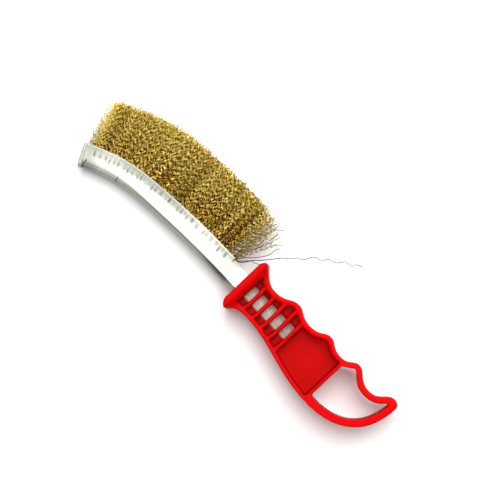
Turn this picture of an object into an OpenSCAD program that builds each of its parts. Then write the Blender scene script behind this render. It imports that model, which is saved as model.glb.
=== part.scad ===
// Wire brush with a curved folded strip and an open-frame moulded handle.
// The brush lies on its side: +X runs from the brush tip to the tail of the handle,
// +Y points the way the wires point, +Z is up. All sizes are in millimetres.

/* [Channel strip] */
// Height of the folded strip, from its round back to its lips
strip_h = 13.7; // [11:0.1:15]
// Thickness of the sheet that the strip is folded from
sheet_t = 0.8; // [0.5:0.05:1]
// Outside diameter of the round back
back_d = 5.2; // [4.9:0.1:7]
// Outside width over the pinched lips
lip_w = 4.6; // [4:0.1:5.2]
// Straight run of the strip in front of the handle
straight_l = 16; // [14:0.5:30]
// Bend radius of the long bend, on the middle of the strip
long_bend_r = 515; // [250:5:700]
// Length of the long bend
long_bend_l = 61.5; // [40:0.5:70]
// Bend radius of the tip bend, on the middle of the strip
tip_bend_r = 96; // [70:1:140]
// Length of the tip bend
tip_bend_l = 39; // [25:0.5:45]
// How far the end fold stands out past the strip's back and lips
end_fold_lip = 0.4; // [0.1:0.1:0.8]

/* [Tang] */
// Length of the tang inside the handle
tang_l = 39; // [37:0.5:40]
// Bare length between the handle and the first wires
neck_l = 11.6; // [6:0.1:13]
// How much lower the lips are cut along the tang
tang_step = 0.8; // [0.2:0.1:2]
// Width of the slit where the tang begins
slit_w = 0.7; // [0.4:0.1:1.2]
// Depth of that slit
slit_h = 2.4; // [1:0.1:3.5]
// Diameter of the holes that lock the tang in the moulding
lock_d = 1.5; // [1:0.1:1.7]

/* [Wires] */
// Free length of the wires past the lips
trim_l = 31.4; // [22:0.2:36]
// Free length of the wires at the brush tip
tip_trim_l = 26.2; // [18:0.2:36]
// Share of the strip's turn that the wires follow
wire_turn = 0.65; // [0.3:0.05:1]
// Thickness of the brush across the wire tips
tip_spread = 16.4; // [12:0.2:23.8]
// Diameter of the core wire that the wires are folded round
core_d = 2.4; // [1.8:0.1:3]
// Number of bundles along the strip
bundles = 14; // [8:1:14]
// Strands along each bundle
strands_long = 7; // [4:1:7]
// Strands across each bundle
strands_wide = 4; // [3:1:4]
// Radius of one strand's three-sided section
strand_r = 0.34; // [0.2:0.02:0.36]
// Sideways step of a strand's crimp
crimp = 0.8; // [0:0.1:1.2]

/* [Handle] */
// Length of the handle
handle_l = 108.8; // [106:0.2:120]
// Thickness of the frame that the hand closes on
grip_t = 18; // [14:0.5:20]
// Thickness of the bolster at the front
bolster_t = 24; // [24:0.5:28]
// Depth of the wall at the front
front_wall = 6.6; // [4:0.2:8]
// Width of the rim round the grip
rim_w = 2.6; // [1.8:0.1:3.2]
// Width of the rim on the finger side of the eye
eye_rim_top = 3.9; // [2.4:0.1:4.6]
// Width of the rim at the tail
eye_rim_tail = 4.4; // [2.6:0.1:5]
// Width of the rim on the palm side of the eye
eye_rim_low = 5.8; // [3:0.1:7]
// Thickness of the cross ribs
rib_t = 2.6; // [1.8:0.1:3.2]
// Centre of the first cross rib
rib_x = 11.6; // [10:0.1:13]
// Distance from one cross rib to the next
rib_pitch = 7.07; // [6.6:0.01:7.1]
// How far the ribs stop below the rim
rib_drop = 0.6; // [0:0.1:2]
// Thickness of the web panel
web_t = 3; // [2:0.2:6]
// Thickness of the shelves that hold the tang
shelf_t = 7.2; // [6:0.1:9]
// How far the palm-side shelf reaches over the tang
shelf_over = 2; // [0.6:0.1:3]
// How far the finger-side shelf reaches over the tang
ledge_over = 1.6; // [0.6:0.1:2.4]
// Centre of the divider between the web panel and the eye
divider_x = 70.5; // [66:0.1:74]
// Thickness of that divider
divider_t = 2.4; // [1.6:0.1:3.4]

/* [Handle outline] */
// Finger grooves, distance behind the front face
groove_x = [16, 43.7, 67.4, 91.7]; // [14:0.1:94]
// Finger grooves, height above the axis
groove_y = [8.9, 9.9, 10.5, 8.95]; // [8.4:0.05:11]
// Crests behind the grooves, without the hook, distance behind the front face
crest_x = [31.1, 56.2, 78]; // [28:0.1:81]
// Crests behind the grooves, without the hook, height above the axis
crest_y = [13.65, 14.25, 15]; // [12:0.05:16]
// Distance from the hook's crest to the tail end
hook_back = 3.9; // [3:0.1:5]
// Height of the hook's crest above the axis
hook_y = 16.2; // [14:0.1:18]
// Height of the bolster's finger-side corner above the axis
bolster_up = 16.6; // [15:0.1:18]
// Depth of the bolster's palm-side corner below the axis
bolster_down = 17.7; // [16:0.1:19]
// Depth of the palm side behind the bolster, below the axis
palm_front_y = 12.8; // [11.5:0.1:14]
// Depth of the palm side at its fullest, below the axis
palm_y = 21.1; // [18:0.1:24]
// Place of the palm side's fullest point behind the front face
palm_x = 72; // [66:0.5:78]

/* [Hidden] */
$fn = 64;
// Running clearance between the moulding and the tang, and round the core wire
fit = 0.05;
// Height of the strip's middle above the handle's axis
strip_y = -1.25;
lip_out = strip_h / 2;
back_out = -strip_h / 2;
back_r = back_d / 2;
back_n = back_out + back_r;
pack_w = lip_w - 2 * sheet_t;
wire_s0 = neck_l + slit_w;
strip_s = straight_l + long_bend_l + tip_bend_l;
wire_s1 = strip_s - fit;
heel_l = 2;
bundle_l = (wire_s1 - wire_s0 - heel_l) / bundles;
// The packed roots sit on the core wire and end just inside the lips
root_n0 = back_n + core_d / 2 + fit;
root_sink = 0.4;
root_n1 = lip_out - root_sink;
long_bend_a = long_bend_l / long_bend_r * 180 / PI;
tip_bend_a = tip_bend_l / tip_bend_r * 180 / PI;
rib_count = 5;
rib_xs = [for (i = [0:rib_count - 1]) rib_x + i * rib_pitch];
web_x0 = rib_xs[rib_count - 1] + rib_t / 2;
web_x1 = divider_x - divider_t / 2;
eye_x0 = divider_x + divider_t / 2;
tang_top = strip_y + lip_out - tang_step;
strip_bottom = strip_y + back_out;
curve_steps = 12;
past = 1;
far = 60;

function pad(k) = k < 10 ? str("0", k) : str(k);
function bundle_name(k) = str("wire_bundle_", pad(k));

// Curves

// One point of a cubic curve
function bez(p, t) =
    pow(1 - t, 3) * p[0] + 3 * t * pow(1 - t, 2) * p[1] + 3 * t * t * (1 - t) * p[2] + pow(t, 3) * p[3];
// A cubic curve without its last point
function curve(p, n = curve_steps) = [for (i = [0:n - 1]) bez(p, i / n)];
function joined(lists) = [for (l = lists) for (p = l) p];
function unit(v) = v / norm(v);

// A run between a groove and a crest, level at both ends, longer and flatter in the groove
crest_ease = 0.38;
groove_ease = 0.6;
function wave(a, b, ease_a, ease_b) =
    curve([a, a + [ease_a * (b[0] - a[0]), 0], b - [ease_b * (b[0] - a[0]), 0], b]);

// Handle outline, walked from the bolster's finger side to the tail and back along the palm
grooves = [for (i = [0:3]) [groove_x[i], groove_y[i]]];
hook = [handle_l - hook_back, hook_y];
crests = [for (i = [0:3]) i < 3 ? [crest_x[i], crest_y[i]] : hook];
// Corners of the bolster, and where the front face runs out into them
corner_x = 3.6;
low_corner_x = 4.6;
corner_drop = 0.3;
low_corner_rise = 0.2;
front_drop = 3.2;
front_rise = 4.3;
tail_drop = 3.4;
palm_front_x = 16.5;
bolster_top = [corner_x, bolster_up - corner_drop];
bolster_low = [low_corner_x, low_corner_rise - bolster_down];
front_top = [0, bolster_up - front_drop];
front_low = [0, front_rise - bolster_down];
tail_end = [handle_l, hook_y - tail_drop];
palm_low = [palm_x, -palm_y];
palm_front = [palm_front_x, -palm_front_y];
// How the curves leave these points
front_pull = [0.3, 1];
corner_pull = [-1.8, 1.3];
corner_run = [3.9, -3.8];
groove_pull = [5, 0];
hook_pull = 2.1;
tail_pull = [0.4, 22.2];
palm_pull = [23, 0];
palm_front_pull = [19.5, 0];
neck_pull = [7, 0];
low_corner_run = [2, 2.9];
low_corner_pull = [1, 1.1];
front_low_pull = [0.9, -2.9];
function front_corner() =
    curve([front_top, front_top + front_pull, bolster_top + corner_pull, bolster_top]);
function finger_side() = joined([
    curve([bolster_top, bolster_top + corner_run, grooves[0] - groove_pull, grooves[0]]),
    for (i = [0:3]) each [
        wave(grooves[i], crests[i], groove_ease, crest_ease),
        i < 3 ? wave(crests[i], grooves[i + 1], crest_ease, groove_ease) : [hook]
    ]
]);
function hook_end() = curve([hook, hook + [hook_pull, 0], tail_end + [0, hook_pull], tail_end]);
function tail_side() =
    curve([tail_end, tail_end - tail_pull, palm_low + palm_pull, palm_low], 2 * curve_steps);
function palm_side() =
    curve([palm_low, palm_low - palm_pull, palm_front + palm_front_pull, palm_front], 2 * curve_steps);
function palm_corner() = joined([
    curve([palm_front, palm_front - neck_pull, bolster_low + low_corner_run, bolster_low]),
    curve([bolster_low, bolster_low - low_corner_pull, front_low + front_low_pull, front_low]),
    [front_low]
]);
outline = concat(front_corner(), finger_side(), [for (i = [1:curve_steps - 1]) hook_end()[i]],
    tail_side(), palm_side(), palm_corner());

// A run of points moved sideways to its right by w, or from w to w2 along the run
function turned(p, i) = unit(p[min(i + 1, len(p) - 1)] - p[max(i - 1, 0)]);
function inset(p, w, w2) = [
    for (i = [0:len(p) - 1])
        let (d = turned(p, i), k = i / (len(p) - 1))
        p[i] + (w + (w2 - w) * k) * [d[1], -d[0]]
];
rim_top = inset(finger_side(), rim_w, rim_w);
rim_low = inset(concat(palm_side(), [palm_front]), rim_w, rim_w);
rim_low_rising = [for (i = [len(rim_low) - 1:-1:0]) rim_low[i]];
eye_top = inset(finger_side(), eye_rim_top, eye_rim_top);
eye_tail = inset(concat(tail_side(), [palm_low]), eye_rim_tail, eye_rim_low);

// Inside of the rim between two places behind the front face
slice_steps = 10;
function rim_slice(x0, x1) = concat(
    [for (i = [0:slice_steps]) let (x = x0 + (x1 - x0) * i / slice_steps) [x, lookup(x, rim_top)]],
    [for (i = [slice_steps:-1:0]) let (x = x0 + (x1 - x0) * i / slice_steps)
        [x, lookup(max(x, rim_low_rising[0][0]), rim_low_rising)]]
);

// Strip path: s runs from the handle's front face to the brush tip
long_bend_c = [-straight_l, strip_y - long_bend_r];
long_bend_end = long_bend_c + long_bend_r * [-sin(long_bend_a), cos(long_bend_a)];
tip_bend_c = long_bend_end - tip_bend_r * [-sin(long_bend_a), cos(long_bend_a)];
function path_a(s) =
    s < straight_l ? 0
    : s < straight_l + long_bend_l ? (s - straight_l) / long_bend_r * 180 / PI
    : long_bend_a + (s - straight_l - long_bend_l) / tip_bend_r * 180 / PI;
function path_n(s) = [-sin(path_a(s)), cos(path_a(s))];
function path_p(s) =
    s < straight_l ? [-s, strip_y]
    : s < straight_l + long_bend_l ? long_bend_c + long_bend_r * path_n(s)
    : tip_bend_c + tip_bend_r * path_n(s);
// A point at s along the strip, n out from its middle and z up
function at(s, n, z) = let (p = path_p(s) + n * path_n(s)) [p[0], p[1], z];

// Wires

// Middle of a strand's root in cell i, j of a tuft from s0 to s1
function root_at(s0, s1, cells, i, j) = at(
    s0 + (s1 - s0) * (i + 0.5) / cells[0],
    root_n1,
    pack_w * ((j + 0.5) / cells[1] - 0.5)
);
// Tips fan out across the brush, and end a little unevenly
uneven = 0.8;
uneven_s = 137;
uneven_z = 71;
fan = (tip_spread - 2 * strand_r) / pack_w * strands_wide / (strands_wide - 1);
function trim_at(s) =
    trim_l + (tip_trim_l - trim_l) * max(0, s - straight_l - long_bend_l) / tip_bend_l;
function bundle_tip(s0, s1, cells, i, j) =
    let (
        root = root_at(s0, s1, cells, i, j),
        s = s0 + (s1 - s0) * (i + 0.5) / cells[0],
        a = wire_turn * path_a(s),
        reach = lip_out - root_n1 + trim_at(s) - uneven * (1 + sin(uneven_s * s + uneven_z * j)) / 2
    )
    [root[0] - reach * sin(a), root[1] + reach * cos(a), root[2] * fan];
// Heel wires stand up in front and lean towards the handle behind
heel_cells = [2, 4];
heel_lean = [[12.5, 11.5, 9, 7], [2, 5, 0, 3.5]];
heel_reach = [[24, 9, 21, 27], [29, 26, 29, 25]];
heel_spread = 5;
function heel_tip(s0, s1, i, j) =
    root_at(s0, s1, heel_cells, i, j)
    + [heel_lean[i][j], heel_reach[i][j], heel_spread * (j - (heel_cells[1] - 1) / 2)];

// Middle of ring r of a strand, stepped to alternate sides between its ends
function strand_mid(a, b, r, rings) =
    let (across = unit([b[1] - a[1], a[0] - b[0], 0]),
        side = r == 0 || r == rings - 1 ? 0 : (r % 2 == 0 ? -crimp : crimp))
    a + (b - a) * r / (rings - 1) + side * across;
// A three-sided ring: its corners lie along the strip and across it
function ring(c, s) =
    let (t = path_n(s))
    [for (a = [90, 210, 330]) c + strand_r * [-cos(a) * t[1], cos(a) * t[0], sin(a)]];

// Tuft: a slice of packed roots with one strand in each cell of its outer face
module tuft(s0, s1, cells, rings, tips) {
    ns = cells[0];
    nz = cells[1];
    half = pack_w / 2 - fit;
    step_z = 2 * half / nz;
    face = [for (i = [0:ns]) for (j = [0:nz]) at(s0 + (s1 - s0) * i / ns, root_n1, j * step_z - half)];
    base = [at(s0, root_n0, -half), at(s1, root_n0, -half), at(s1, root_n0, half), at(s0, root_n0, half)];
    strands = [
        for (i = [0:ns - 1]) for (j = [0:nz - 1]) for (r = [0:rings - 1])
            let (s = s0 + (s1 - s0) * (i + 0.5) / ns)
            each ring(strand_mid(root_at(s0, s1, cells, i, j), tips[i][j], r, rings), s)
    ];
    b = len(face);
    function g(i, j) = i * (nz + 1) + j;
    function v(i, j, r, k) = b + 4 + ((i * nz + j) * rings + r) * 3 + k % 3;
    cell_faces = [
        for (i = [0:ns - 1]) for (j = [0:nz - 1]) each [
            [g(i, j), g(i + 1, j), v(i, j, 0, 2)],
            [g(i, j), v(i, j, 0, 2), v(i, j, 0, 1)],
            [g(i + 1, j), g(i + 1, j + 1), v(i, j, 0, 0)],
            [g(i + 1, j), v(i, j, 0, 0), v(i, j, 0, 2)],
            [g(i, j + 1), g(i, j), v(i, j, 0, 1)],
            [g(i, j + 1), v(i, j, 0, 1), v(i, j, 0, 0)],
            [g(i + 1, j + 1), g(i, j + 1), v(i, j, 0, 0)]
        ]
    ];
    strand_faces = [
        for (i = [0:ns - 1]) for (j = [0:nz - 1]) each concat(
            [for (r = [0:rings - 2]) for (k = [0:2]) each [
                [v(i, j, r, k), v(i, j, r, k + 1), v(i, j, r + 1, k + 1)],
                [v(i, j, r, k), v(i, j, r + 1, k + 1), v(i, j, r + 1, k)]
            ]],
            [[v(i, j, rings - 1, 0), v(i, j, rings - 1, 1), v(i, j, rings - 1, 2)]]
        )
    ];
    side_faces = concat(
        [for (i = [0:ns - 1]) [b, g(i + 1, 0), g(i, 0)]],
        [[b, b + 1, g(ns, 0)]],
        [for (i = [0:ns - 1]) [b + 3, g(i, nz), g(i + 1, nz)]],
        [[b + 3, g(ns, nz), b + 2]],
        [for (j = [0:nz - 1]) [b, g(0, j), g(0, j + 1)]],
        [[b, g(0, nz), b + 3]],
        [for (j = [0:nz - 1]) [b + 1, g(ns, j + 1), g(ns, j)]],
        [[b + 1, b + 2, g(ns, nz)]],
        [[b, b + 3, b + 2], [b, b + 2, b + 1]]
    );
    polyhedron(concat(face, base, strands), concat(cell_faces, strand_faces, side_faces));
}

module wire_bundle(k) {
    s0 = wire_s0 + heel_l + (k - 1) * bundle_l;
    s1 = s0 + bundle_l - fit;
    cells = [strands_long, strands_wide];
    tips = [for (i = [0:cells[0] - 1]) [for (j = [0:cells[1] - 1]) bundle_tip(s0, s1, cells, i, j)]];
    color("darkgoldenrod") tuft(s0, s1, cells, 3, tips);
}

module heel_wires() {
    s1 = wire_s0 + heel_l - fit;
    tips = [for (i = [0:1]) [for (j = [0:3]) heel_tip(wire_s0, s1, i, j)]];
    color("darkgoldenrod") tuft(wire_s0, s1, heel_cells, 6, tips);
}

// Strip

// Outside of the folded sheet across the strip, grown by g: n out, z up
back_steps = 14;
function fold_outside(top, g) =
    let (a0 = asin((lip_w / 2 + g) / (back_r + g)))
    concat(
        [[top, lip_w / 2 + g]],
        [for (i = [0:back_steps]) let (a = a0 + (360 - 2 * a0) * i / back_steps)
            [back_n + (back_r + g) * cos(a), (back_r + g) * sin(a)]],
        [[top, -lip_w / 2 - g]]
    );
// The sheet itself, thinned by g on all sides
function fold_section(top, g = 0) =
    let (inner = fold_outside(top - g, g - sheet_t))
    concat(fold_outside(top - g, -g), [for (i = [len(inner) - 1:-1:0]) inner[i]]);

// A section swept along the strip's straight run, from s0 to s1
module straight(s0, s1) {
    translate([-s1, strip_y, 0]) rotate([90, 0, 90]) linear_extrude(s1 - s0) children();
}
// One section swept round the long bend, in fine steps, and one round the tip bend.
// The second is thinner by the seam and starts a little way inside the first.
bend_fn = 720;
seam = 0.02;
seam_a = 0.4;
module bends() {
    translate(long_bend_c) rotate([0, 0, 90])
        rotate_extrude(angle = long_bend_a, $fn = bend_fn) translate([long_bend_r, 0]) children(0);
    translate(tip_bend_c) rotate([0, 0, 90 + long_bend_a - seam_a])
        rotate_extrude(angle = tip_bend_a + seam_a, $fn = bend_fn)
            translate([tip_bend_r, 0]) children(1);
}
// A section swept a short way past the end of the strip
module past_tip(l) {
    translate(path_p(strip_s)) rotate([0, 0, path_a(strip_s)])
        translate([-l, 0, 0]) rotate([90, 0, 90]) linear_extrude(l + seam) children();
}
// The two holes that lock the tang, each under a cross rib
lock_ribs = [1, 3];
module lock_holes(d, h) {
    for (i = lock_ribs) translate([rib_xs[i], strip_y, 0]) cylinder(d = d, h = h, center = true);
}

module channel_strip() {
    color("silver") difference() {
        union() {
            straight(-tang_l, neck_l) polygon(fold_section(lip_out - tang_step));
            straight(neck_l, straight_l) polygon(fold_section(lip_out));
            bends() {
                polygon(fold_section(lip_out));
                polygon(fold_section(lip_out, seam));
            }
            past_tip(sheet_t) polygon(fold_outside(lip_out + end_fold_lip, end_fold_lip));
        }
        translate([-neck_l - slit_w, strip_y + lip_out - slit_h, -back_d])
            cube([slit_w, slit_h + past, 2 * back_d]);
        lock_holes(lock_d, 2 * back_d);
    }
}

core_fn = 32;
module core_wire() {
    color("dimgray") {
        straight(wire_s0, straight_l) translate([back_n, 0]) circle(d = core_d, $fn = core_fn);
        bends() {
            translate([back_n, 0]) circle(d = core_d, $fn = core_fn);
            translate([back_n, 0]) circle(d = core_d - 2 * seam, $fn = core_fn);
        }
    }
}

// Handle

// Side shape of the handle: the thick bolster runs down to the grip in an easy curve
bolster_flat = 2.6;
bolster_run = 6;
function side_half() = concat(
    [[-past, bolster_t / 2]],
    [for (a = [0:15:180]) [bolster_flat + bolster_run * a / 180,
        grip_t / 2 + (bolster_t - grip_t) / 4 * (1 + cos(a))]],
    [[handle_l + past, grip_t / 2]]
);
module side_shape() {
    upper = side_half();
    lower = [for (i = [len(upper) - 1:-1:0]) [upper[i][0], -upper[i][1]]];
    rotate([90, 0, 0]) linear_extrude(2 * far, center = true) polygon(concat(upper, lower));
}

module through(z0, z1) {
    translate([0, 0, z0]) linear_extrude(z1 - z0) children();
}
module eye() {
    last_top = eye_top[len(eye_top) - 1];
    intersection() {
        polygon(concat(eye_top, [last_top + [far, 0], [handle_l + far, -far], [0, -far]]));
        polygon(concat([eye_tail[0] + [0, far]], eye_tail, [[0, eye_tail[len(eye_tail) - 1][1]], [0, far]]));
        translate([eye_x0, -far]) square(2 * far);
    }
}
// Spaces between the ribs, from the front wall to the web panel
window_x0 = concat([front_wall], [for (i = [0:rib_count - 2]) rib_xs[i] + rib_t / 2]);
window_x1 = [for (x = rib_xs) x - rib_t / 2];
// Shelves that reach from the rim over the tang's edges, along all the windows
shelf_x0 = front_wall - past;
shelf_x1 = rib_xs[rib_count - 1];
module shelf(rim, y, into_rim) {
    edge = [for (i = [0:slice_steps]) let (x = shelf_x0 + (shelf_x1 - shelf_x0) * i / slice_steps)
        [x, lookup(x, rim) + into_rim]];
    polygon(concat(edge, [[shelf_x1, y], [shelf_x0, y]]));
}

module handle() {
    rib_top = grip_t / 2 - rib_drop;
    color("red") {
        difference() {
            union() {
                difference() {
                    intersection() {
                        through(-bolster_t / 2, bolster_t / 2) polygon(outline);
                        side_shape();
                    }
                    for (i = [0:rib_count - 1])
                        through(-far, far) polygon(rim_slice(window_x0[i], window_x1[i]));
                    for (z = [-far, rib_top])
                        through(z, z + far - (z < 0 ? rib_top : 0)) polygon(rim_slice(front_wall, web_x0));
                    for (z = [-far, web_t / 2])
                        through(z, z + far - (z < 0 ? web_t / 2 : 0)) polygon(rim_slice(web_x0, web_x1));
                    through(-far, far) eye();
                }
                through(-shelf_t / 2, shelf_t / 2) {
                    shelf(rim_low_rising, strip_bottom + shelf_over, -rim_w / 2);
                    shelf(rim_top, tang_top - ledge_over, rim_w / 2);
                }
            }
            straight(-tang_l - fit, past) polygon(fold_outside(lip_out - tang_step + fit, fit));
        }
        lock_holes(lock_d - 2 * fit, lip_w + 2 * past);
    }
}

// Loose wire: it leaves the slit and crosses the bolster's corner
loose_tip = [39.9, 53.4];
loose_rise = 3;
loose_rings = 15;
module loose_wire() {
    s = wire_s0 - strand_r - fit;
    foot = at(s, root_n1 - past, 0);
    knee = at(s, lip_out + past, 0);
    tip = [loose_tip[0], loose_tip[1], loose_rise];
    mids = concat([foot], [for (r = [0:loose_rings - 1]) strand_mid(knee, tip, r, loose_rings)]);
    points = [for (m = mids) each ring(m, s)];
    n = len(mids);
    color("darkgoldenrod") polyhedron(points, concat(
        [[2, 1, 0], [3 * n - 3, 3 * n - 2, 3 * n - 1]],
        [for (r = [0:n - 2]) for (k = [0:2]) each [
            [3 * r + k, 3 * r + (k + 1) % 3, 3 * r + 3 + (k + 1) % 3],
            [3 * r + k, 3 * r + 3 + (k + 1) % 3, 3 * r + 3 + k]
        ]]
    ));
}

// The origin is under the middle of the whole brush, on the surface that it lies on
last_s0 = wire_s1 - bundle_l;
tip_xs = [for (j = [0:strands_wide - 1])
    bundle_tip(last_s0, wire_s1 - fit, [strands_long, strands_wide], strands_long - 1, j)[0]];
end_corner = path_p(strip_s) + (back_out - end_fold_lip) * path_n(strip_s);
x_mid = (min(tip_xs) - strand_r + handle_l) / 2;
y_mid = (min(-palm_y, end_corner[1]) + loose_tip[1]) / 2;
module placed() {
    translate([-x_mid, -y_mid, bolster_t / 2]) children();
}

placed() handle();
placed() channel_strip();
placed() core_wire();
for (k = [1:bundles]) placed() wire_bundle(k);
placed() heel_wires();
placed() loose_wire();
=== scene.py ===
"""Wire brush with a curved folded strip and an open-frame moulded handle.

Sizes are in millimetres in the part's own frame: x runs back from the handle's front face,
y is the way the wires point, z is up from the middle of the brush. Along the strip, s is the
distance from the handle's front face and n the distance out from the strip's middle.
"""

import math
import random

import bpy
import numpy as np
from mathutils import Matrix, Vector, noise


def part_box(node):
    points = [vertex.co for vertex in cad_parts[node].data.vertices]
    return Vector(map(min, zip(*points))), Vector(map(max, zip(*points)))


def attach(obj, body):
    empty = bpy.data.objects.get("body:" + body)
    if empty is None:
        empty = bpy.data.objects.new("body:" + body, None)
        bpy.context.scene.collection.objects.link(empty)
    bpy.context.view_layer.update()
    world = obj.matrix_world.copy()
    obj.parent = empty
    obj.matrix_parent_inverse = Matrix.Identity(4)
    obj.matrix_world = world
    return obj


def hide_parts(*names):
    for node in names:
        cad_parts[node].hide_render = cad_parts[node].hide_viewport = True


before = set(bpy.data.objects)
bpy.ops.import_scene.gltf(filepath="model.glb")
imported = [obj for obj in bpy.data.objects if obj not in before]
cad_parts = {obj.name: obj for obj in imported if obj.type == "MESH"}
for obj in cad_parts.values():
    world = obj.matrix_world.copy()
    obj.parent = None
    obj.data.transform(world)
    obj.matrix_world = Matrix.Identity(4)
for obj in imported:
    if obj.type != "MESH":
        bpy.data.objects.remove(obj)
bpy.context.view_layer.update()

MM = 0.001
TAU = 2 * math.pi

# Where the part's own frame lies in the row frame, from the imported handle
PALM_Y = 21.1
handle_low, handle_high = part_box("handle")
ORIGIN = Vector((handle_low.x, handle_low.y + PALM_Y * MM, (handle_low.z + handle_high.z) / 2))


def placed(x, y, z):
    """A point of the part, in metres in the row frame."""
    return ORIGIN + Vector((x, y, z)) * MM


def add_object(name, data):
    """A new object in the scene."""
    made = bpy.data.objects.new(name, data)
    bpy.context.scene.collection.objects.link(made)
    return made


def set_layer(mesh, layer, values):
    """Gives each point of a mesh a value, which a material can read."""
    mesh.attributes.new(layer, "FLOAT", "POINT").data.foreach_set("value", values)


def add_piece(name, verts, faces, **layers):
    """A new mesh object from points in millimetres in the part's own frame, with point values."""
    mesh = bpy.data.meshes.new(name)
    mesh.from_pydata([placed(*v) for v in verts], [], faces)
    mesh.update()
    mesh.shade_smooth()
    for layer, values in layers.items():
        set_layer(mesh, layer, values)
    return add_object(name, mesh)


def paint(piece, material):
    piece.data.materials.clear()
    piece.data.materials.append(material)


def dress(piece, material, nodes):
    """Gives a piece its material, hangs it on the root body and hides the solids that it stands
    for.
    """
    paint(piece, material)
    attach(piece, "root")
    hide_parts(*nodes)


def ease(low, high, x):
    """Rises smoothly from 0 at low to 1 at high."""
    t = min(max((x - low) / (high - low), 0.0), 1.0)
    return t * t * (3 - 2 * t)


# Strip path: straight, then a long bend, then a tighter bend at the tip

STRIP_Y = -1.25
STRIP_H = 13.7
STRAIGHT_L = 16.0
LONG_R, LONG_L = 515.0, 61.5
TIP_R, TIP_L = 96.0, 39.0
STRIP_L = STRAIGHT_L + LONG_L + TIP_L
LONG_A = LONG_L / LONG_R
LIP = STRIP_H / 2


def path_turn(s):
    """How far the strip has turned at s, in radians."""
    if s < STRAIGHT_L:
        return 0.0
    if s < STRAIGHT_L + LONG_L:
        return (s - STRAIGHT_L) / LONG_R
    return LONG_A + (s - STRAIGHT_L - LONG_L) / TIP_R


def path_out(s):
    """The way from the strip's back to its lips at s."""
    a = path_turn(s)
    return Vector((-math.sin(a), math.cos(a)))


LONG_C = Vector((-STRAIGHT_L, STRIP_Y - LONG_R))
LONG_END = LONG_C + LONG_R * path_out(STRAIGHT_L + LONG_L)
TIP_C = LONG_END - TIP_R * path_out(STRAIGHT_L + LONG_L)


def path_point(s):
    """The middle of the strip at s."""
    if s < STRAIGHT_L:
        return Vector((-s, STRIP_Y))
    if s < STRAIGHT_L + LONG_L:
        return LONG_C + LONG_R * path_out(s)
    return TIP_C + TIP_R * path_out(s)


def on_strip(s, n, z):
    """A point at s along the strip, n out from its middle and z up."""
    p = path_point(s) + n * path_out(s)
    return Vector((p.x, p.y, z))


# Materials: colours are linear, and a list of stops runs from dark or hollow to bright or open; on
# the plastic this paints shade into the hollows

# The plastic's red by openness: painted shade in hollows and a painted brighter tone on open tops
RED_SHADE_STOPS = [
    (0.15, (0.5, 0.0002, 0.0004)),
    (0.45, (0.72, 0.0003, 0.0006)),
    (0.9, (0.76, 0.0004, 0.001)),
    (1.0, (1.0, 0.001, 0.003)),
]
# Painted shade for steep walls, mixed in by the point value flank
RED_WALL_SHADE = (0.3, 0.0003, 0.0006)
# How far around a point, in metres, the plastic looks for walls that make it a hollow with painted
# shade
HOLLOW_REACH = 0.015
HOLLOW_SAMPLES = 12
PLATING_STOPS = [
    (0.0, (0.012, 0.012, 0.008)),
    (0.5, (0.39, 0.40, 0.34)),
    (1.0, (0.84, 0.85, 0.79)),
]
# Colour of the painted red reflection of the moulding on the tang
REFLECTED_RED = (0.24, 0.05, 0.03)
CORE_STOPS = [(0.3, (0.3, 0.29, 0.27)), (0.7, (0.45, 0.44, 0.41))]
# Brass from dark to bright, by each wire's tone and painted light
BRASS_STOPS = [
    (0.0, (0.05, 0.015, 0.001)),
    (0.25, (0.36, 0.135, 0.008)),
    (0.55, (0.95, 0.52, 0.035)),
    (0.95, (1.0, 0.87, 0.23)),
]
WORN_STOPS = [
    (0.0, (0.04, 0.035, 0.03)),
    (0.35, (0.28, 0.2, 0.09)),
    (1.0, (0.95, 0.74, 0.3)),
]
PAPER_STOPS = [(0.3, (0.9, 0.9, 0.9)), (0.7, (0.92, 0.92, 0.92))]


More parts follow.
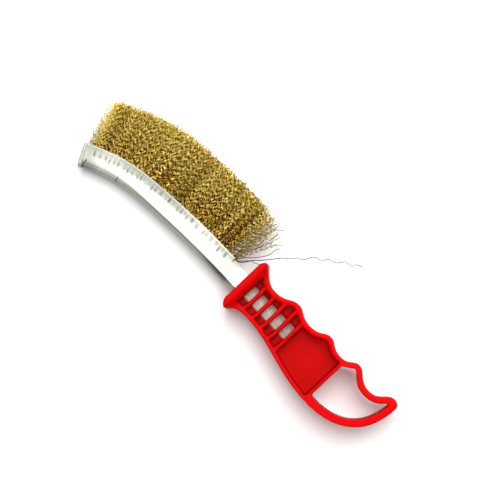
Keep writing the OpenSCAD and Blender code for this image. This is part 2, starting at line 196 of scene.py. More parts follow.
class Nodes:
    """A short way to build a material around one shader."""

    def __init__(self, name):
        self.material = bpy.data.materials.new(name)
        self.material.use_nodes = True
        self.tree = self.material.node_tree
        self.tree.nodes.clear()
        self.shader = self.add("ShaderNodeBsdfPrincipled")
        out = self.add("ShaderNodeOutputMaterial")
        self.link(self.shader.outputs[0], out.inputs["Surface"])

    def add(self, kind, **settings):
        node = self.tree.nodes.new(kind)
        for key, value in settings.items():
            if key in node.inputs:
                node.inputs[key].default_value = value
            else:
                setattr(node, key, value)
        return node

    def link(self, a, b):
        self.tree.links.new(a, b)

    def hold(self, socket, value):
        """Sets one of the shader's own sockets."""
        self.shader.inputs[socket].default_value = value

    def feed(self, socket, output):
        """Links an output to one of the shader's sockets."""
        self.link(output, self.shader.inputs[socket])

    def layer(self, name):
        """A point value of the mesh."""
        return self.add("ShaderNodeAttribute", attribute_name=name).outputs["Fac"]

    def noise(self, scale, detail, roughness=0.5, stretch=(1, 1, 1)):
        where = self.add("ShaderNodeTexCoord")
        mapping = self.add("ShaderNodeMapping", Scale=stretch)
        self.link(where.outputs["Object"], mapping.inputs["Vector"])
        tex = self.add("ShaderNodeTexNoise", Scale=scale, Detail=detail, Roughness=roughness)
        self.link(mapping.outputs[0], tex.inputs["Vector"])
        return tex.outputs["Fac"]

    def ramp(self, factor, stops):
        ramp = self.add("ShaderNodeValToRGB")
        elements = ramp.color_ramp.elements
        while len(elements) < len(stops):
            elements.new(0.5)
        for element, (place, colour) in zip(elements, stops):
            element.position = place
            element.color = (*colour, 1)
        self.link(factor, ramp.inputs["Fac"])
        return ramp.outputs["Color"]

    def spread(self, factor, low, high):
        node = self.add("ShaderNodeMapRange")
        node.inputs["To Min"].default_value = low
        node.inputs["To Max"].default_value = high
        self.link(factor, node.inputs["Value"])
        return node.outputs["Result"]

    def mix(self, factor, base, colour):
        """Turns an output towards a colour by factor."""
        node = self.add("ShaderNodeMix", data_type="RGBA")
        self.link(factor, node.inputs["Factor"])
        a, b = [socket for socket in node.inputs if socket.type == "RGBA"]
        self.link(base, a)
        b.default_value = (*colour, 1)
        return next(socket for socket in node.outputs if socket.type == "RGBA")

    def bump(self, height, strength, distance):
        node = self.add("ShaderNodeBump", Strength=strength, Distance=distance)
        self.link(height, node.inputs["Height"])
        self.feed("Normal", node.outputs[0])


def red_plastic():
    """Slightly see-through moulding with painted shade: darker in hollows by ambient occlusion and
    on steep walls by point value flank.
    """
    m = Nodes("red_plastic")
    openness = m.add(
        "ShaderNodeAmbientOcclusion", Distance=HOLLOW_REACH, samples=HOLLOW_SAMPLES)
    body = m.ramp(openness.outputs["AO"], RED_SHADE_STOPS)
    m.feed("Base Color", m.mix(m.layer("flank"), body, RED_WALL_SHADE))
    m.hold("Subsurface Weight", 0.6)
    m.hold("Subsurface Radius", (1.0, 0.02, 0.02))
    m.hold("Subsurface Scale", 0.004)
    m.hold("Transmission Weight", 0.5)
    m.hold("IOR", 1.15)
    m.hold("Specular IOR Level", 0.015)
    grain = m.noise(1800, detail=4, roughness=0.6)
    m.feed("Roughness", m.spread(grain, 0.36, 0.5))
    m.bump(grain, strength=0.12, distance=0.00012)
    return m.material


def strip_steel():
    """Plated sheet that follows the point values light, its tone with painted highlights and shade,
    and red_tint.
    """
    m = Nodes("strip_steel")
    plated = m.ramp(m.layer("light"), PLATING_STOPS)
    # Painted red reflection of the moulding, mixed in on the tang
    m.feed("Base Color", m.mix(m.layer("red_tint"), plated, REFLECTED_RED))
    m.hold("Metallic", 0.3)
    grain = m.noise(160, detail=5, roughness=0.65, stretch=(1, 6, 1))
    m.feed("Roughness", m.spread(grain, 0.34, 0.5))
    m.bump(grain, strength=0.15, distance=0.0001)
    return m.material


def wire_metal(name, stops):
    """Crimped wire whose colour follows the point value glow: its tone with painted light and
    glints.
    """
    m = Nodes(name)
    m.feed("Base Color", m.ramp(m.layer("glow"), stops))
    m.hold("Metallic", 0.85)
    m.feed("Roughness", m.spread(m.noise(900, detail=2), 0.24, 0.42))
    return m.material


def core_steel():
    m = Nodes("core_steel")
    tone = m.noise(700, detail=3)
    m.feed("Base Color", m.ramp(tone, CORE_STOPS))
    m.hold("Metallic", 1.0)
    m.feed("Roughness", m.spread(tone, 0.3, 0.5))
    return m.material


def floor_paper():
    m = Nodes("floor_paper")
    m.feed("Base Color", m.ramp(m.noise(3, detail=2), PAPER_STOPS))
    m.hold("Roughness", 0.9)
    m.hold("Specular IOR Level", 0.1)
    return m.material


# Handle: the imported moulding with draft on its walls, its edges rounded and its walls as moulded

VOXEL = 0.46
ROUND_STEPS = 6
ROUND_FACTOR = 0.5
DRAFT = math.tan(math.radians(1.2))
# How much deeper painted shade makes the plastic's tone on steep walls than on flat faces, and
# how flat a face is where the painted shade starts, with how far it tilts from there to the full
# shade
FLANK_SHADE = 0.45
FLANK_FLAT, FLANK_TILT = 0.985, 0.35
# Middle and half width of the frame's inside along x
FRAME_X = (0, 16, 40, 66, 80, 90, 98, 104)
FRAME_MID = (-2.0, -2.0, -3.0, -5.2, -3.5, -3.5, 0.3, 10.0)
FRAME_HALF = (10.0, 8.3, 10.5, 13.2, 12.0, 8.6, 6.3, 2.0)
# From what share of that half width a point belongs to the rim
RIM = ((0.55, 0.8), (0, 1))
# What the rim gains or loses in thickness along x: inside on either side, and outside the palm
FINGER_GAIN = ((2, 6, 10, 15, 64, 70, 74, 86), (0.0, 1.3, 1.3, 0.9, 0.85, 0.0, -0.8, 0.0))
PALM_GAIN = ((2, 8, 66, 71, 74, 98, 103), (0.0, 0.85, 0.85, 0.0, -0.5, -0.5, 0.0))
PALM_TRIM = ((3, 8, 100, 104), (0.0, -0.45, -0.45, 0.0))
# How far the ribs are set back, and where along x they lie
RIB_SHIFT = 0.45
RIBS = ((4, 8, 36, 41), (0, 1, 1, 0))


def fill_out(spots, normals):
    """Thickens or thins the frame's rim in place, and sets the ribs back."""
    x, y = (spots[:, 0] - ORIGIN.x) / MM, (spots[:, 1] - ORIGIN.y) / MM
    off = y - np.interp(x, FRAME_X, FRAME_MID)
    rim = np.interp(np.abs(off) / np.interp(x, FRAME_X, FRAME_HALF), *RIM)
    finger = off > 0
    inside = finger == (normals[:, 1] < 0)
    inner = np.where(finger, np.interp(x, *FINGER_GAIN), np.interp(x, *PALM_GAIN))
    outer = np.where(finger, 0.0, np.interp(x, *PALM_TRIM))
    gain = np.where(inside, inner, outer)
    spots[:, :2] += normals[:, :2] * (gain * rim * np.abs(normals[:, 1]))[:, None] * MM
    spots[:, 0] += RIB_SHIFT * MM * (1 - rim) * np.interp(x, *RIBS)


def handle_skin():
    piece = add_object("handle_moulding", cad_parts["handle"].data.copy())
    remesh = piece.modifiers.new("skin", "REMESH")
    remesh.mode = "VOXEL"
    remesh.voxel_size = VOXEL * MM
    smooth = piece.modifiers.new("round", "SMOOTH")
    smooth.factor = ROUND_FACTOR
    smooth.iterations = ROUND_STEPS
    rounded = piece.evaluated_get(bpy.context.evaluated_depsgraph_get())
    made = bpy.data.meshes.new_from_object(rounded)
    made.name = "handle_moulding"
    piece.modifiers.clear()
    piece.data = made
    count = len(made.vertices)
    spots, normals = np.empty(count * 3), np.empty(count * 3)
    made.vertices.foreach_get("co", spots)
    made.vertex_normals.foreach_get("vector", normals)
    spots, normals = spots.reshape(-1, 3), normals.reshape(-1, 3)
    spots[:, :2] -= normals[:, :2] * np.abs(spots[:, 2:] - ORIGIN.z) * DRAFT
    fill_out(spots, normals)
    made.vertices.foreach_set("co", spots.ravel())
    # Painted shade on steep walls, by how far each normal tilts from up
    steep = np.clip((FLANK_FLAT - np.abs(normals[:, 2])) / FLANK_TILT, 0, 1)
    set_layer(made, "flank", FLANK_SHADE * steep)
    made.shade_smooth()
    return piece


# Channel strip: a folded sheet with a round back, narrower at the neck and in the handle

SHEET_T = 0.8
BACK_R = 2.6
LIP_Z = 2.3
TANG_L = 39.0
NECK_L = 11.6
TANG_STEP = 0.8
SLIT_W = 0.7
SLIT_H = 2.4
FLANK_STEPS = 34
BACK_STEPS = 24
STRIP_STEP = 0.3
# Keeps the stations on the two sides of a step in the lip apart
STATION_GAP = 1e-4
INSIDE_LIGHT = 0.3


def strip_lip(s):
    """How far out the lips reach at s."""
    if s < NECK_L:
        return LIP - TANG_STEP
    if s < NECK_L + SLIT_W:
        return LIP - SLIT_H
    return LIP


# Marks of the crimping tool, one after another along each flank
MARK_SEEDS = {1: 58, -1: 61}
MARKS_START, MARKS_END = NECK_L + 5, STRIP_L - 2
MARK_L = (1.7, 4.4)
MARK_DEPTH = 0.3
MARK_PRESS = (0.1, 1.0)
# Where across the flank a mark starts: out at the neck, further in towards the tip
MARK_OUT, MARK_OUT_DROP, MARK_OUT_ZONE, MARK_OUT_SPREAD = 1.6, 1.2, (50, 100), 0.6
MARK_SLANT = 1.5
# How a mark sets in and fades: across from its edge, and along as a share of its length
MARK_EDGE, MARK_FADE, MARK_FADE_ZONE = (-0.4, 0.3), 0.8, (1.2, 3.8)
MARK_RISE, MARK_FALL = (0.0, 0.14), (0.22, 0.7)


def crimp_marks(seed):
    """Start, end, place out and press of each mark on a flank."""
    rng = random.Random(seed)
    marks = []
    s = MARKS_START
    while s < MARKS_END:
        end = s + rng.uniform(*MARK_L)
        out = MARK_OUT - MARK_OUT_DROP * ease(*MARK_OUT_ZONE, s) + rng.gauss(0, MARK_OUT_SPREAD)
        marks.append((s, end, out, rng.uniform(*MARK_PRESS)))
        s = end
    return marks


MARKS = {face: crimp_marks(seed) for face, seed in MARK_SEEDS.items()}


def pressed(s, n, face):
    """How far the crimping tool pressed a flank in, from 0 to 1."""
    for start, end, out, press in MARKS[face]:
        if start <= s < end:
            t = (s - start) / (end - start)
            past = n - out - MARK_SLANT * t
            across = ease(*MARK_EDGE, past) * (1 - MARK_FADE * ease(*MARK_FADE_ZONE, past))
            return press * across * ease(*MARK_RISE, t) * (1 - ease(*MARK_FALL, t))
    return 0.0


def line_mark(s, n, a, b, half):
    """A scored line from a to b on the flank: 1 on the line, 0 off it."""
    run = Vector((b[0] - a[0], b[1] - a[1]))
    rel = Vector((s - a[0], n - a[1]))
    t = min(max(rel.dot(run) / run.length_squared, 0.0), 1.0)
    return 1 - ease(SCORE_CORE * half, half, (rel - run * t).length)


# Scored lines at the folded end and at the kink: ends in s and n, and half width, of which
# the share SCORE_CORE is fully dark
SCORE_CORE = 0.3
SCORES = (((113.3, -1.8), (114.7, -7.0), 0.5), ((92.0, -3.2), (92.4, -6.9), 0.4))

# Blotches of the plating: how many a millimetre along s and n, and which pattern
PATCH, FINE, TINT = (0.55, 0.8, 3.0), (2.4, 1.3, 9.0), (0.9, 0.7, 5.0)

# Brightness of the tang, painted as light: a highlight along its middle line over its half width,
# and painted shade in the zones at its two ends
TANG_LIGHT, TANG_MID, TANG_HALF = 0.1, -0.8, 3.4
TANG_HIGHLIGHT, TANG_FINE, TANG_PATCH = 0.42, 0.4, 0.2
TANG_FRONT, TANG_BACK, TANG_BACK_SHADE = (4.5, 8.5), (26, 36), 0.45
# Painted reflection of the red moulding on the tang, stronger towards its edges
TINT_EVEN, TINT_EDGE, TINT_EDGE_ZONE, TINT_BLOTCH = 0.38, 0.5, (1.4, 5.0), 0.2

# Brightness of the plating, and the zones along s where it changes
PLATE_LIGHT, PLATE_RANGE = 0.86, (0.02, 1.0)
PLATE_FINE, PLATE_PATCH = 0.05, 0.04
NECK_ZONE, NECK_START, NECK_SHADE = (12, 34), (2, 10), 0.27
TIP_ZONE = (50, 104)
# Painted shade towards the free end, where the flank tilts from the light
END_ZONE, END_SHADE = (102, 112), 0.39
LIP_ZONE, LIP_SHADE, LIP_NECK_SHADE = (3.2, 5.8), 0.1, 0.08
# The dull band that crimping left: its edge in n, its softness and how dull it is along s
BAND_N, BAND_TIP, BAND_PATCH, BAND_FINE, BAND_SOFT = 2.2, 1.4, 1.1, 0.5, (-0.7, 1.6)
BAND_SHADE, BAND_END, BAND_NECK, BAND_GRAIN = 0.2, 0.28, 0.9, 0.5
BAND_MORE, BAND_MORE_ZONE = 0.25, (35, 58)
BAND_LESS, BAND_LESS_ZONE = 0.14, (86, 100)
# Painted highlight along the cut edge at the lips
EDGE_HIGHLIGHT, EDGE_ZONE = 0.2, (LIP - 0.75, LIP - 0.45)
# Where the flank rolls into the back, wider towards the tip, with painted shade and a painted dark
# reflection line along it
ROLL_N, ROLL_W, ROLL_TIP = 1.8, 1.5, 1.3
ROLL_SHADE, ROLL_END = 0.48, 0.24
ROLL_LINE, ROLL_LINE_W = 0.22, 0.6
PRESS_SHADE = 0.34
SCORE_SHADE = 0.45


def blotch(s, n, along, across, pattern):
    """A patchy value from about -1 to 1."""
    return noise.noise(Vector((along * s, across * n, pattern)))


def tang_light(s, n, patch, fine):
    """How bright the tang is painted: painted shade at both ends and along both edges, a painted
    highlight between.
    """
    length = ease(*TANG_FRONT, -s) * (1 - TANG_BACK_SHADE * ease(*TANG_BACK, -s))
    width = math.exp(-((n - TANG_MID) / TANG_HALF) ** 2)
    return TANG_LIGHT + (TANG_HIGHLIGHT * length + TANG_FINE * fine + TANG_PATCH * patch) * width


def crimp_band(s, n, patch, fine, tip, neck, end):
    """How much the dull band takes from the light."""
    past = n - (BAND_N - BAND_TIP * tip + BAND_PATCH * patch + BAND_FINE * fine)
    shade = BAND_SHADE + BAND_MORE * ease(*BAND_MORE_ZONE, s)
    shade -= BAND_LESS * ease(*BAND_LESS_ZONE, s) + BAND_END * end
    return shade * (1 - BAND_NECK * neck) * ease(*BAND_SOFT, past) * (1 + BAND_GRAIN * fine)


def back_roll(n, tip, end):
    """How much painted shade and a painted dark reflection line take from the light where the flank
    turns into the back.
    """
    roll_n = -LIP + ROLL_N + ROLL_TIP * tip
    turned = 1 - ease(roll_n, roll_n + ROLL_W + ROLL_TIP * tip, n)
    line = 1 - ease(0.0, ROLL_LINE_W, abs(n - roll_n))
    return (ROLL_SHADE - ROLL_END * end) * turned + ROLL_LINE * line


def steel_light(s, n, press):
    """How bright the plating is painted, from 0 to 1: its tone and blotches with painted highlights
    and shade.
    """
    patch, fine = blotch(s, n, *PATCH), blotch(s, n, *FINE)
    if s < 0:
        return tang_light(s, n, patch, fine)
    tip, neck, end = ease(*TIP_ZONE, s), 1 - ease(*NECK_ZONE, s), ease(*END_ZONE, s)
    light = PLATE_LIGHT - NECK_SHADE * neck * ease(*NECK_START, s) - END_SHADE * end
    light += PLATE_FINE * fine + PLATE_PATCH * patch
    light -= (LIP_SHADE + LIP_NECK_SHADE * neck) * ease(*LIP_ZONE, n)
    light -= crimp_band(s, n, patch, fine, tip, neck, end)
    light += EDGE_HIGHLIGHT * ease(*EDGE_ZONE, n)
    light -= back_roll(n, tip, end)
    light -= PRESS_SHADE * press
    for score in SCORES:
        light -= SCORE_SHADE * line_mark(s, n, *score)
    low, high = PLATE_RANGE
    return min(max(light, low), high)


def red_tint(s, n):
    """How much painted red reflection of the moulding the tang shows."""
    if s > 0:
        return 0.0
    edge = TINT_EDGE * ease(*TINT_EDGE_ZONE, abs(n - TANG_MID))
    return edge + TINT_EVEN + TINT_BLOTCH * blotch(s, n, *TINT)


def strip_ring(s):
    """Points round the fold at s, outside then inside, with how bright each is."""
    top = strip_lip(s)
    back_n = -LIP + BACK_R
    turn0 = math.asin(LIP_Z / BACK_R)
    join = back_n + BACK_R * math.cos(turn0)
    shrink = (BACK_R - SHEET_T) / BACK_R
    outside, inside = [], []
    for face in (1, -1):
        flank = []
        for i in range(FLANK_STEPS + 1):
            n = top + (join - top) * i / FLANK_STEPS
            press = pressed(s, n, face)
            light = steel_light(s, n, press)
            flank.append((n, face * (LIP_Z - MARK_DEPTH * press), light))
        inner = [(n, face * (LIP_Z - SHEET_T), INSIDE_LIGHT) for n, _, _ in flank]
        if face > 0:
            outside += flank
            inside += inner
            for i in range(1, BACK_STEPS):
                a = turn0 + (TAU - 2 * turn0) * i / BACK_STEPS
                n, z = BACK_R * math.cos(a), BACK_R * math.sin(a)
                outside.append((back_n + n, z, steel_light(s, back_n + n, 0.0)))
                inside.append((back_n + n * shrink, z * shrink, INSIDE_LIGHT))
        else:
            outside += flank[::-1]
            inside += inner[::-1]
    return outside + inside[::-1]


def strip_stations():
    """Where along s the strip's rings lie."""
    steps = [-TANG_L, NECK_L, NECK_L + SLIT_W, STRIP_L]
    places = []
    for a, b in zip(steps, steps[1:]):
        count = max(2, round((b - a) / STRIP_STEP))
        run = b - a - 2 * STATION_GAP
        places += [a + STATION_GAP + run * i / count for i in range(count + 1)]
    return places


def join_rings(faces, start, size, rings):
    """Faces between closed rings of points that follow one another."""
    for a in range(start, start + (rings - 1) * size, size):
        for j in range(size):
            k = (j + 1) % size
            faces.append((a + j, a + k, a + size + k, a + size + j))


# The folded end: how far past the strip's end each ring lies, and how far it stands out
END_RINGS = ((-0.9, 0.02), (-0.2, 0.25), (0.4, 0.4), (0.8, 0.1))
# The end plate's tone: painted shade for its tilted faces, with random blotches
END_LIGHT, END_STAIN = 0.45, 0.2


def end_plate(verts, faces, lights):
    """The sheet folded shut over the strip's end, with a rounded edge."""
    outline = strip_ring(STRIP_L)[: 2 * FLANK_STEPS + BACK_STEPS + 1]
    profile = [(n, z) for n, z, _ in outline]
    middle = sum(n for n, _ in profile) / len(profile)
    start, size = len(verts), len(profile)
    for ds, grow in END_RINGS:
        for n, z in profile:
            k = 1 + grow / math.hypot(n - middle, z)
            verts.append(on_strip(STRIP_L + ds, middle + (n - middle) * k, z * k))
            lights.append(END_LIGHT + END_STAIN * noise.noise(Vector((2 * ds, n, z))))
    join_rings(faces, start, size, len(END_RINGS))
    last = len(verts) - size
    faces.append(tuple(range(start, start + size))[::-1])
    faces.append(tuple(range(last, last + size)))


def strip_mesh():
    stations = strip_stations()
    verts, faces, lights, tints = [], [], [], []
    for s in stations:
        for n, z, light in strip_ring(s):
            verts.append(on_strip(s, n, z))
            lights.append(light)
            tints.append(red_tint(s, n))
    size = len(verts) // len(stations)
    join_rings(faces, 0, size, len(stations))
    for base, flip in ((0, False), (len(verts) - size, True)):
        for j in range(size // 2 - 1):
            quad = (base + j, base + size - 1 - j, base + size - 2 - j, base + j + 1)
            faces.append(quad[::-1] if flip else quad)
    end_plate(verts, faces, lights)
    tints += [0.0] * (len(verts) - len(tints))
    return add_piece("channel_strip_folded", verts, faces, light=lights, red_tint=tints)


# Wires: each runs from its root in the fold to its tip, which leans with the strip's turn

WIRE_TURN = 0.65
TRIM_L, TIP_TRIM_L = 31.4, 26.2
ROOT_DEPTH = 3.0
PACK_Z = 1.45
TIP_Z = 7.8
MOST_Z = 8.15
WIRE_R = 0.19
WIRE_SIDES = 3
WIRE_STEP = 0.42
LEAST_STEPS = 8
BUNDLES = 14
HEEL_L = 2.0
WIRE_S0 = NECK_L + SLIT_W
BUNDLE_L = (STRIP_L - WIRE_S0 - HEEL_L) / BUNDLES
WIRES_A_BUNDLE = 290
# The crimp: its wave, how that varies, how sharp its turns are and where it reaches full height
CRIMP_WAVE, CRIMP_WAVE_SHARE = 2.9, (0.65, 1.6)
CRIMP_TURN = 0.92
CRIMP_RUN_IN = 4


class Wires:
    """Wires gathered into one mesh, each point with a value glow."""

    def __init__(self):
        self.verts, self.faces, self.glow = [], [], []

    def tube(self, points, radius, glow, sides=WIRE_SIDES, twist=0.0):
        """Adds a closed tube through points."""
        start = len(self.verts)
        run = (points[-1] - points[0]).normalized()
        across = run.cross(Vector((0, 0, 1))).normalized()
        up = across.cross(run)
        turns = [twist + TAU * k / sides for k in range(sides)]
        spokes = [(across * math.cos(a) + up * math.sin(a)) * radius for a in turns]
        for p, shine in zip(points, glow):
            self.verts += [p + d for d in spokes]
            self.glow += [shine] * sides
        last = start + (len(points) - 1) * sides
        for a in range(start, last, sides):
            for k in range(sides):
                m = (k + 1) % sides
                self.faces.append((a + k, a + sides + k, a + sides + m, a + m))
        self.faces.append(tuple(range(start, start + sides)))
        self.faces.append(tuple(range(last, last + sides))[::-1])

    def piece(self, name):
        return add_piece(name, self.verts, self.faces, glow=self.glow)


def crimp_wave(t):
    """A crimp: nearly straight runs with rounded turns."""
    return math.asin(CRIMP_TURN * math.sin(t)) / math.asin(CRIMP_TURN)


def crimped(root, tip, rng, height, bow):
    """Points along a crimped wire, and which way each run faces, from -1 to 1."""
    run = tip - root
    length = run.length
    ahead = run.normalized()
    across = ahead.cross(Vector((0, 0, 1))).normalized()
    up = across.cross(ahead)
    roll = rng.uniform(0, TAU)
    side = across * math.cos(roll) + up * math.sin(roll)
    phase = rng.uniform(0, TAU)
    wave = CRIMP_WAVE * rng.uniform(*CRIMP_WAVE_SHARE)
    count = max(LEAST_STEPS, round(length / WIRE_STEP))
    points, facing = [], []
    for i in range(count + 1):
        t = i / count
        turn = phase + TAU * t * length / wave
        swing = height * min(1.0, t * length / CRIMP_RUN_IN) * crimp_wave(turn)
        p = root + run * t + side * swing + across * (bow * t * t)
        p.z = min(max(p.z, -MOST_Z), MOST_Z)
        points.append(p)
        facing.append(math.cos(turn))
    return points, facing


def threaded(spots):
    """A smooth run of points through the given spots."""
    spots = [Vector(p) for p in spots]
    padded = [2 * spots[0] - spots[1]] + spots + [2 * spots[-1] - spots[-2]]
    points = []
    for a, b, c, d in zip(padded, padded[1:], padded[2:], padded[3:]):
        count = max(2, round((c - b).length / WIRE_STEP))
        square, cube = 2 * a - 5 * b + 4 * c - d, 3 * (b - c) + d - a
        for i in range(count):
            t = i / count
            points.append(b + 0.5 * t * ((c - a) + t * (square + t * cube)))
    return points + [spots[-1]]


def trim_at(s):
    """How long the wires are trimmed at s: shorter towards the tip."""
    return TRIM_L + (TIP_TRIM_L - TRIM_L) * max(0.0, s - STRAIGHT_L - LONG_L) / TIP_L


# Bundles: the free end leans back and the heel fans out, in degrees, and both thin out
BUNDLE_SEED = 4100
SPLAY = 4.6
FREE_ZONE, FREE_LEAN = (STRIP_L - 9, STRIP_L - 3), 1
FREE_THIN, FREE_THIN_ZONE = 0.88, (STRIP_L - 6, STRIP_L - 2.5)
HEEL_ZONE, HEEL_FAN = (WIRE_S0 + 1, WIRE_S0 + 13), 13
HEEL_THIN_L, HEEL_THIN_POWER = 15, 1.9
# How a wire's length, tip height, crimp, bow and thickness vary
REACH_SPREAD = (-0.3, 1.2)
TIP_Z_SPREAD = 0.4
CRIMP_HEIGHT, CRIMP_SHARE = 0.5, (0.5, 1.5)
BOW = 0.8
RADIUS_SHARE = (0.85, 1.15)
# How bright wires are painted: a tone for each by itself, painted light brighter along s and
# towards the tip, and a painted glint where a run faces one way
SHINE = (0.02, 0.25)
SHINE_ZONES = ((0.1, 22, 42), (0.18, 45, 105), (0.5, 106, 115))
TIP_PAINTED_LIGHT, TIP_PAINTED_LIGHT_ZONE = 0.52, (0.1, 0.95)
FACING_GLINT = 0.85


def bundle_mesh(k):
    rng = random.Random(BUNDLE_SEED + k)
    wires = Wires()
    s0 = WIRE_S0 + HEEL_L + k * BUNDLE_L
    for i in range(WIRES_A_BUNDLE):
        s = s0 + BUNDLE_L * (i + rng.random()) / WIRES_A_BUNDLE
        free, heel = ease(*FREE_ZONE, s), 1 - ease(*HEEL_ZONE, s)
        thin = FREE_THIN * ease(*FREE_THIN_ZONE, s)
        thin += 1 - min((s - WIRE_S0) / HEEL_THIN_L, 1) ** HEEL_THIN_POWER
        if rng.random() < thin:
            continue
        side = rng.uniform(-1, 1)
        splay = rng.gauss(0, SPLAY)
        fan = abs(rng.gauss(0, HEEL_FAN))
        splay -= free * (splay + abs(splay) + FREE_LEAN) + heel * fan
        lean = WIRE_TURN * path_turn(s) + math.radians(splay)
        reach = trim_at(s) + rng.gauss(*REACH_SPREAD)
        root = on_strip(s, LIP - ROOT_DEPTH, PACK_Z * side)
        tip = on_strip(s, LIP, 0) + Vector((-math.sin(lean), math.cos(lean), 0)) * reach
        tip.z = TIP_Z * side + rng.gauss(0, TIP_Z_SPREAD)
        height = CRIMP_HEIGHT * rng.uniform(*CRIMP_SHARE)
        points, facing = crimped(root, tip, rng, height, rng.gauss(0, BOW))
        shine = rng.gauss(*SHINE)
        for gain, start, end in SHINE_ZONES:
            shine += gain * ease(start, end, s)
        count = len(points) - 1
        glow = [shine + TIP_PAINTED_LIGHT * ease(*TIP_PAINTED_LIGHT_ZONE, j / count) + FACING_GLINT * f
                for j, f in enumerate(facing)]
        radius = WIRE_R * rng.uniform(*RADIUS_SHARE)
        wires.tube(points, radius, glow, twist=rng.uniform(0, TAU))
    return wires


# Stray hairs at the free end, as points
HAIR_R = 0.7 * WIRE_R
HAIR_TONE = 0.1
HAIRS = [
    [(-112.4, -9.2, 1.0), (-116.2, -7.2, 1.6), (-119.6, -3.2, 2.0), (-125.2, 0.4, 2.4),
     (-127.0, 6.6, 2.6)],
    [(-111.6, -8.2, 0.4), (-115.4, -4.6, 0.8), (-119.0, 1.2, 1.2), (-122.2, 5.4, 1.6)],
]


def add_hairs(wires):
    for spots in HAIRS:
        points = threaded(spots)
        wires.tube(points, HAIR_R, [HAIR_TONE] * len(points))


# Splayed wires at the heel: the dark ones as points, the others by their tips
HEEL_SEED = 977
HEEL_R = 0.25
HEEL_CRIMP, HEEL_BOW = 0.9, 1.4
# A tone for each heel wire, and a painted glint where a run faces one way
HEEL_SHINE, HEEL_FACING_GLINT = (0.3, 0.85), 0.25
HEEL_RUN_SHINE = (0.0, 0.3)
HEEL_RUNS = [
    [(-13.2, 4.0, 0.6), (-13.0, 11.6, 2.0), (-10.8, 17.4, 3.0), (-8.5, 19.8, 3.4),
     (-8.3, 25.0, 4.0), (-5.9, 26.6, 4.2), (-5.3, 32.2, 4.5)],
    [(-12.6, 4.0, 0.2), (-11.4, 12.2, 1.4), (-7.7, 18.3, 2.2), (-5.5, 24.7, 2.6),
     (-3.1, 25.5, 2.8), (0.7, 29.6, 3.0)],
    [(-13.6, 4.0, 0.8), (-13.2, 16.2, 2.6), (-10.8, 24.0, 3.8), (-9.3, 31.3, 4.8),
     (-7.7, 32.9, 5.0), (-5.4, 34.6, 5.2), (-4.7, 36.2, 5.4)],
    [(-12.5, 4.0, -0.4), (-9.0, 9.6, 0.2), (-4.4, 14.4, 0.6), (-0.6, 20.9, 0.8),
     (-0.3, 24.4, 1.0), (0.8, 27.2, 1.0)],
    [(-12.4, 4.2, 0.0), (-9.2, 6.6, 0.6), (-5.4, 10.8, 1.0), (-3.0, 11.6, 1.2),
     (0.2, 13.5, 1.4)],
]
HEEL_TIPS = [
    (-13.0, 36.0, 6.0), (-11.6, 34.6, 3.0), (-10.4, 33.0, 5.6), (-9.2, 35.4, 1.0),
    (-7.6, 33.4, 4.4), (-13.8, 35.0, -2.0), (-10.2, 36.6, -4.6), (-6.0, 33.6, -2.6),
    (-4.8, 30.0, 1.6), (-8.0, 28.0, 4.8), (-12.6, 33.6, 7.2), (-3.0, 32.2, 3.6),
    (-2.0, 25.6, -1.0), (-6.8, 36.0, 5.6), (-5.4, 27.6, -4.0), (-9.0, 31.4, 7.4),
    (0.2, 29.8, 3.0), (-11.2, 32.2, 5.0),
]


def heel_mesh():
    rng = random.Random(HEEL_SEED)
    wires = Wires()
    for i, tip in enumerate(HEEL_TIPS):
        s = WIRE_S0 + HEEL_L * (i + 0.5) / len(HEEL_TIPS)
        root = on_strip(s, LIP - ROOT_DEPTH, PACK_Z * rng.uniform(-1, 1))
        points, facing = crimped(root, Vector(tip), rng, HEEL_CRIMP, rng.gauss(0, HEEL_BOW))
        shine = rng.uniform(*HEEL_SHINE)
        glow = [shine + HEEL_FACING_GLINT * f for f in facing]
        wires.tube(points, HEEL_R, glow, twist=rng.uniform(0, TAU))
    for spots in HEEL_RUNS:
        points = threaded(spots)
        glow = [rng.uniform(*HEEL_RUN_SHINE)] * len(points)
        wires.tube(points, HEEL_R, glow, twist=rng.uniform(0, TAU))
    return wires


# The loose wire, as points
LOOSE_R, LOOSE_SIDES, LOOSE_TONE = 0.26, 5, 0.0
LOOSE_RUN = [
    (-11.9, 4.0, 0.4), (-8.1, 6.8, 0.8), (-4.9, 11.4, 1.4), (-0.3, 16.7, 2.0),
    (5.7, 24.6, 2.6), (8.9, 27.3, 2.8), (11.4, 30.7, 2.9), (14.6, 32.6, 3.0),
    (17.4, 37.7, 3.0), (21.3, 39.4, 3.0), (24.2, 42.8, 3.0), (28.2, 44.4, 3.0),
    (31.3, 48.4, 3.0), (35.3, 49.3, 3.0), (36.4, 51.6, 3.0), (39.8, 53.3, 3.0),
]


def loose_mesh():
    wires = Wires()
    points = threaded(LOOSE_RUN)
    wires.tube(points, LOOSE_R, [LOOSE_TONE] * len(points), sides=LOOSE_SIDES)
    return wires


# Stage: the brush lies on its bolster and the wires' tips, so the floor rises under the wires

FLOOR_Z = -12.0
FLOOR_RISE = 0.0285
FLOOR_HALF = 2000.0


def add_floor():
    corners = [(-1, -1), (1, -1), (1, 1), (-1, 1)]
    spots = [(FLOOR_HALF * i, FLOOR_HALF * j) for i, j in corners]
    mesh = bpy.data.meshes.new("floor")
    mesh.from_pydata([placed(x, y, FLOOR_Z - FLOOR_RISE * x) for x, y in spots], [], [(0, 1, 2, 3)])
    mesh.materials.append(floor_paper())
    floor = add_object("floor", mesh)


# The photograph's right and up on the floor, the point at its middle, and where the lens stands
RIGHT = Vector((0.6880, 0.7257, 0))
UP = Vector((-0.7257, 0.6880, 0))
LOOK_AT = placed(-9.86, 14.66, 3.0)
STAND = (RIGHT * 47.5 - UP * 53.0) * MM
CAMERA_UP = 0.8
VIEW_WIDTH = 277.7 * MM
SENSOR_W = 36
CLIP_END = 20


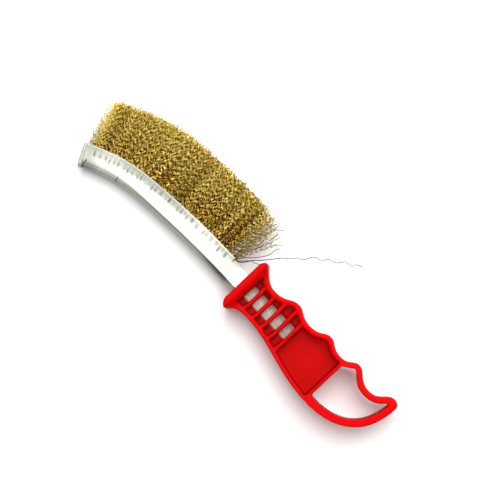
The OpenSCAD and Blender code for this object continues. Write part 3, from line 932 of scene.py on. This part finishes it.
def add_camera():
    eye = LOOK_AT + STAND + Vector((0, 0, CAMERA_UP))
    back = (eye - LOOK_AT).normalized()
    right = (RIGHT - back * RIGHT.dot(back)).normalized()
    camera = bpy.data.cameras.new("camera")
    camera.sensor_width = SENSOR_W
    camera.lens = SENSOR_W * (eye - LOOK_AT).length / VIEW_WIDTH
    camera.clip_end = CLIP_END
    lens = add_object("camera", camera)
    lens.location = eye
    lens.rotation_euler = Matrix((right, back.cross(right), back)).transposed().to_euler()
    bpy.context.scene.camera = lens


# Soft light: an even white surround and one large lamp a metre away, in metres and watts
WORLD_LIGHT = 0.46
KEY_TURN, KEY_RISE = math.radians(62), math.radians(67)
KEY_SIZE = 0.9
KEY_WATTS = 15.5


def add_world():
    world = bpy.data.worlds.new("world")
    bpy.context.scene.world = world
    world.use_nodes = True
    background = world.node_tree.nodes["Background"]
    background.inputs["Color"].default_value = (1, 1, 1, 1)
    background.inputs["Strength"].default_value = WORLD_LIGHT


def add_key():
    light = bpy.data.lights.new("key", "AREA")
    light.shape = "SQUARE"
    light.size = KEY_SIZE
    light.energy = KEY_WATTS
    flat = RIGHT * math.cos(KEY_TURN) + UP * math.sin(KEY_TURN)
    lamp = add_object("key", light)
    lamp.location = flat * math.cos(KEY_RISE) + Vector((0, 0, math.sin(KEY_RISE)))
    lamp.rotation_euler = (-lamp.location).to_track_quat("-Z", "Y").to_euler()


# The brush

brass = wire_metal("brass_wire", BRASS_STOPS)
worn_brass = wire_metal("worn_wire", WORN_STOPS)

dress(handle_skin(), red_plastic(), ["handle"])
dress(strip_mesh(), strip_steel(), ["channel_strip"])
paint(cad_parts["core_wire"], core_steel())
for k in range(BUNDLES):
    wires = bundle_mesh(k)
    if k == BUNDLES - 1:
        add_hairs(wires)
    dress(wires.piece("wires_%02d" % (k + 1)), brass, ["wire_bundle_%02d" % (k + 1)])
dress(heel_mesh().piece("wires_heel"), worn_brass, ["heel_wires"])
dress(loose_mesh().piece("wire_loose"), worn_brass, ["loose_wire"])

add_floor()
add_world()
add_key()
add_camera()
bpy.context.scene.view_settings.view_transform = "Standard"
